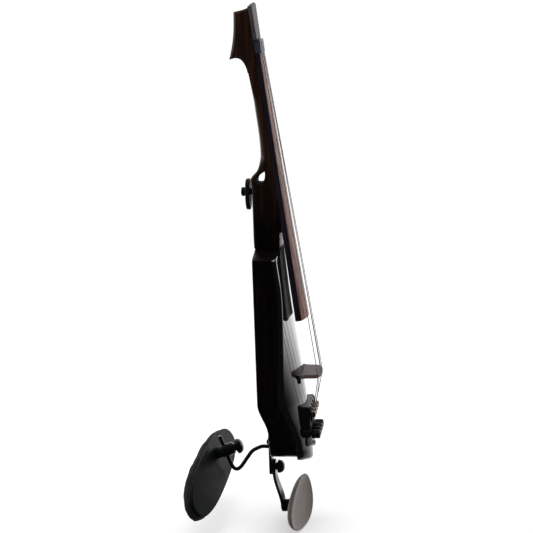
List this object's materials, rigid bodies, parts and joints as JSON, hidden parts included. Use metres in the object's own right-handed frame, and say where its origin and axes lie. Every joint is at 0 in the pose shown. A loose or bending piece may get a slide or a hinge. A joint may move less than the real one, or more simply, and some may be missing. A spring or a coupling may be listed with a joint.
{
  "type": "electric violin",
  "caption": "Headless electric violin with a solid arched body, tuner block at the tail, thumb stop, adjustable shoulder rest and chin rest.",
  "frame": {"origin": "middle of the flat of the body back, between the shoulder edge and the lower crease, on the centre line", "axes": "+X out of the front towards the strings, +Y to the treble side, +Z towards the head"},
  "size_m": [0.1365, 0.1675, 0.5326],
  "materials": {
    "stained_wood": "dark red-brown stain, satin gloss",
    "gloss_black": "black lacquer, mirror gloss",
    "nut_black": "black, polished",
    "board_wood": "dark purple-brown wood, oiled",
    "bridge_wood": "dark brown wood, bare",
    "brass": "brushed brass",
    "string_steel": "wound steel",
    "plated_steel": "plated, polished",
    "black_metal": "black, satin",
    "black_plastic": "black, matte",
    "foam_rubber": "dark grey foam rubber",
    "dish_plastic": "dark grey-brown, satin",
    "card_green": "green card, lacquered",
    "lead_black": "black insulation"
  },
  "bodies": {
    "instrument": {"neck": "stained_wood", "head_overlay": "gloss_black", "nut": "nut_black", "fingerboard": "board_wood", "body_core": "stained_wood", "body_top": "gloss_black", "bridge": "bridge_wood", "pickup_bass": "black_plastic", "pickup_treble": "black_plastic", "pickup_plug": "black_plastic", "string_g": "string_steel", "string_d": "string_steel", "string_a": "string_steel", "string_e": "string_steel", "tuner_block": "black_metal", "block_screw_1": "black_metal", "block_screw_2": "black_metal", "tail_screw": "plated_steel", "thumb_washer": "black_plastic", "thumb_stud": "plated_steel", "neck_bolt_1": "black_metal", "neck_bolt_2": "black_metal", "rear_cover": "black_plastic", "cover_screw_1": "black_metal", "cover_screw_2": "black_metal", "cover_screw_3": "black_metal", "cover_screw_4": "black_metal", "volume_pot": "plated_steel", "tone_pot": "plated_steel", "output_socket": "black_metal", "preamp_card": "card_green", "pickup_lead": "lead_black", "socket_lead": "lead_black", "rod_lock_screw": "black_metal", "chin_bracket": "black_metal", "bracket_screw_1": "black_metal", "bracket_screw_2": "black_metal"},
    "volume_dial_body": {"volume_dial": "black_plastic"},
    "tone_dial_body": {"tone_dial": "black_plastic"},
    "thumb_plate_body": {"thumb_plate": "black_plastic"},
    "thumb_knob_body": {"thumb_knob": "black_metal"},
    "rod_socket_body": {"rod_socket": "plated_steel"},
    "shoulder_rod_body": {"shoulder_rod": "black_metal"},
    "rod_grip_body": {"rod_grip": "black_metal"},
    "grip_knob_body": {"grip_knob": "black_metal"},
    "shoulder_rest_body": {"shoulder_plate": "black_plastic", "shoulder_pad": "foam_rubber"},
    "chin_arm_body": {"chin_arm": "black_metal"},
    "chin_knob_body": {"chin_knob": "black_metal"},
    "chin_dish_body": {"chin_mount": "black_plastic", "chin_dish": "dish_plastic"},
    "tuner_knob_body_1": {"tuner_knob_1": "black_metal"},
    "string_clamp_body_1": {"string_clamp_1": "brass"},
    "tuner_knob_body_2": {"tuner_knob_2": "black_metal"},
    "string_clamp_body_2": {"string_clamp_2": "brass"},
    "tuner_knob_body_3": {"tuner_knob_3": "black_metal"},
    "string_clamp_body_3": {"string_clamp_3": "brass"},
    "tuner_knob_body_4": {"tuner_knob_4": "black_metal"},
    "string_clamp_body_4": {"string_clamp_4": "brass"}
  },
  "joints": [
    {"name": "tuner_turn_1", "type": "hinge", "parent": "instrument", "child": "tuner_knob_body_1", "pos_m": [0.0507, -0.0165, -0.1138], "axis": [1, 0, 0], "range_deg": [0, 1460]},
    {"name": "clamp_travel_1", "type": "slide", "parent": "instrument", "child": "string_clamp_body_1", "axis": [0, 0, -1], "range_m": [0, 0.004]},
    {"name": "tuner_turn_2", "type": "hinge", "parent": "instrument", "child": "tuner_knob_body_2", "pos_m": [0.0507, -0.0055, -0.1138], "axis": [1, 0, 0], "range_deg": [0, 1460]},
    {"name": "clamp_travel_2", "type": "slide", "parent": "instrument", "child": "string_clamp_body_2", "axis": [0, 0, -1], "range_m": [0, 0.004]},
    {"name": "tuner_turn_3", "type": "hinge", "parent": "instrument", "child": "tuner_knob_body_3", "pos_m": [0.0507, 0.0055, -0.1138], "axis": [1, 0, 0], "range_deg": [0, 1460]},
    {"name": "clamp_travel_3", "type": "slide", "parent": "instrument", "child": "string_clamp_body_3", "axis": [0, 0, -1], "range_m": [0, 0.004]},
    {"name": "tuner_turn_4", "type": "hinge", "parent": "instrument", "child": "tuner_knob_body_4", "pos_m": [0.0507, 0.0165, -0.1138], "axis": [1, 0, 0], "range_deg": [0, 1460]},
    {"name": "clamp_travel_4", "type": "slide", "parent": "instrument", "child": "string_clamp_body_4", "axis": [0, 0, -1], "range_m": [0, 0.004]},
    {"name": "volume_turn", "type": "hinge", "parent": "instrument", "child": "volume_dial_body", "pos_m": [0.0126, 0.046, 0.019], "axis": [0, 1, 0], "range_deg": [0, 280]},
    {"name": "tone_turn", "type": "hinge", "parent": "instrument", "child": "tone_dial_body", "pos_m": [0.0126, 0.046, -0.006], "axis": [0, 1, 0], "range_deg": [0, 280]},
    {"name": "thumb_stop_slide", "type": "slide", "parent": "instrument", "child": "thumb_plate_body", "axis": [0, 0, 1], "range_m": [-0.0035, 0.0085]},
    {"name": "thumb_knob_turn", "type": "hinge", "parent": "instrument", "child": "thumb_knob_body", "pos_m": [-0.01, 0, 0.1344], "axis": [1, 0, 0], "continuous": true},
    {"name": "shoulder_swivel", "type": "hinge", "parent": "instrument", "child": "rod_socket_body", "pos_m": [0.008, 0, -0.1338], "axis": [1, 0, 0], "range_deg": [-20, 20]},
    {"name": "shoulder_reach", "type": "slide", "parent": "rod_socket_body", "child": "shoulder_rod_body", "axis": [1, 0, 0], "range_m": [-0.008, 0.003]},
    {"name": "grip_swivel", "type": "hinge", "parent": "shoulder_rod_body", "child": "rod_grip_body", "pos_m": [-0.0416, 0, -0.13881], "axis": [-0.342, 0, 0.9397], "range_deg": [-20, 20]},
    {"name": "grip_knob_turn", "type": "hinge", "parent": "rod_grip_body", "child": "grip_knob_body", "pos_m": [-0.0416, 0, -0.13881], "axis": [0.9397, 0, 0.342], "continuous": true},
    {"name": "shoulder_rest_turn", "type": "hinge", "parent": "rod_grip_body", "child": "shoulder_rest_body", "pos_m": [-0.0416, 0, -0.13881], "axis": [0.9397, 0, 0.342], "range_deg": [-20, 20]},
    {"name": "chin_arm_swivel", "type": "hinge", "parent": "instrument", "child": "chin_arm_body", "pos_m": [0.0095, 0, -0.1555], "axis": [1, 0, 0], "range_deg": [-20, 20]},
    {"name": "chin_knob_turn", "type": "hinge", "parent": "instrument", "child": "chin_knob_body", "pos_m": [0.0095, 0, -0.1555], "axis": [1, 0, 0], "continuous": true},
    {"name": "chin_dish_turn", "type": "hinge", "parent": "chin_arm_body", "child": "chin_dish_body", "pos_m": [0.0395, -0.02, -0.1892], "axis": [0.9792, -0.1564, 0.1289], "range_deg": [-25, 25]}
  ],
  "couplings": [
    {"joint": "tuner_turn_1", "follows": "clamp_travel_1", "rad_per_m": 6283},
    {"joint": "tuner_turn_2", "follows": "clamp_travel_2", "rad_per_m": 6283},
    {"joint": "tuner_turn_3", "follows": "clamp_travel_3", "rad_per_m": 6283},
    {"joint": "tuner_turn_4", "follows": "clamp_travel_4", "rad_per_m": 6283}
  ]
}
